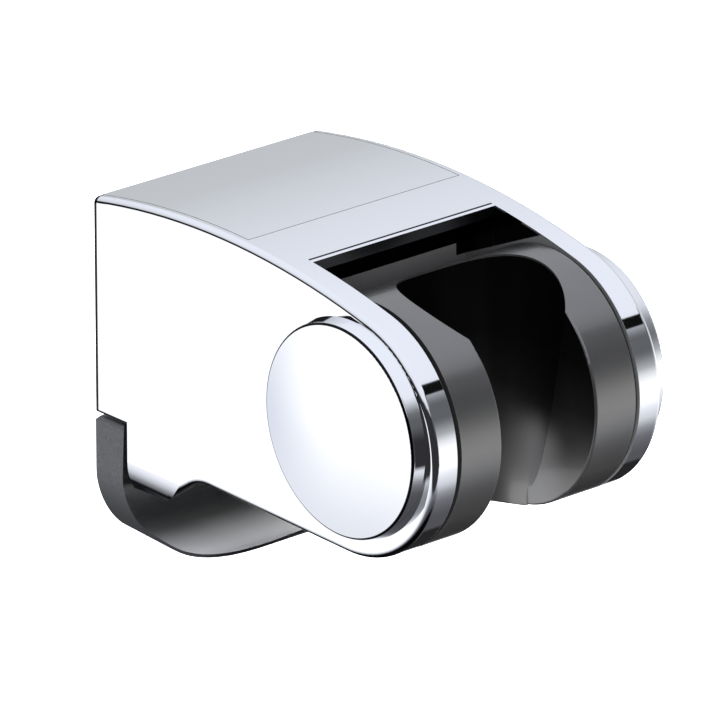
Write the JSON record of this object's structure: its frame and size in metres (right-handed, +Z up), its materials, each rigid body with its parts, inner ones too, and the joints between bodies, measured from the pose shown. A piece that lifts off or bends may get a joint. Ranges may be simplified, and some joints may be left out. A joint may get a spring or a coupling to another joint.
{
  "type": "hand shower holder",
  "caption": "Wall-mounted hand shower holder: chromed housing, tilting slotted cradle with a conical seat, round side caps and a J-shaped release lever.",
  "frame": {"origin": "middle of the rear face, on the wall, midway between the two wall screw holes", "axes": "+X to the right as the holder is faced from the front, +Y into the wall, so the cradle points along -Y, +Z up"},
  "size_m": [0.0526, 0.0791, 0.0554],
  "materials": {
    "chromed_casting": "polished chrome plate on a zinc casting",
    "chromed_cover": "polished chrome plate",
    "chromed_cap": "polished chrome plate",
    "dark_gloss_moulding": "gloss dark grey plastic",
    "dark_satin_moulding": "fine-grained satin dark grey plastic",
    "stainless_sheet": "bare stainless sheet",
    "spring_steel": "bare spring steel",
    "screw_steel": "bare stainless steel",
    "brass": "bare turned brass",
    "white_acetal": "natural acetal"
  },
  "bodies": {
    "holder": {"housing": "chromed_casting", "rear_top_cover": "chromed_cover", "left_cap": "chromed_cap", "right_cap": "chromed_cap", "left_pivot_bush": "white_acetal", "right_pivot_bush": "white_acetal", "wall_plate": "stainless_sheet", "left_lever_pin": "screw_steel", "right_lever_pin": "screw_steel", "lever_spring": "spring_steel"},
    "cradle": {"cradle": "dark_gloss_moulding", "left_insert": "brass", "right_insert": "brass", "left_friction_disc": "white_acetal", "right_friction_disc": "white_acetal", "left_spring_washer": "spring_steel", "right_spring_washer": "spring_steel", "left_pivot_screw": "screw_steel", "right_pivot_screw": "screw_steel"},
    "lever": {"release_lever": "dark_satin_moulding"}
  },
  "joints": [
    {"name": "cradle_tilt", "type": "hinge", "parent": "holder", "child": "cradle", "pos_m": [0, -0.0595, -0.00335], "axis": [1, 0, 0], "range_deg": [-15, 40]},
    {"name": "lever_press", "type": "hinge", "parent": "holder", "child": "lever", "pos_m": [0, -0.0044, -0.0128], "axis": [-1, 0, 0], "range_deg": [0, 3.5], "stiffness_Nm_per_rad": 0.19, "springref_deg": -20.05, "deforming": ["lever_spring"]}
  ]
}
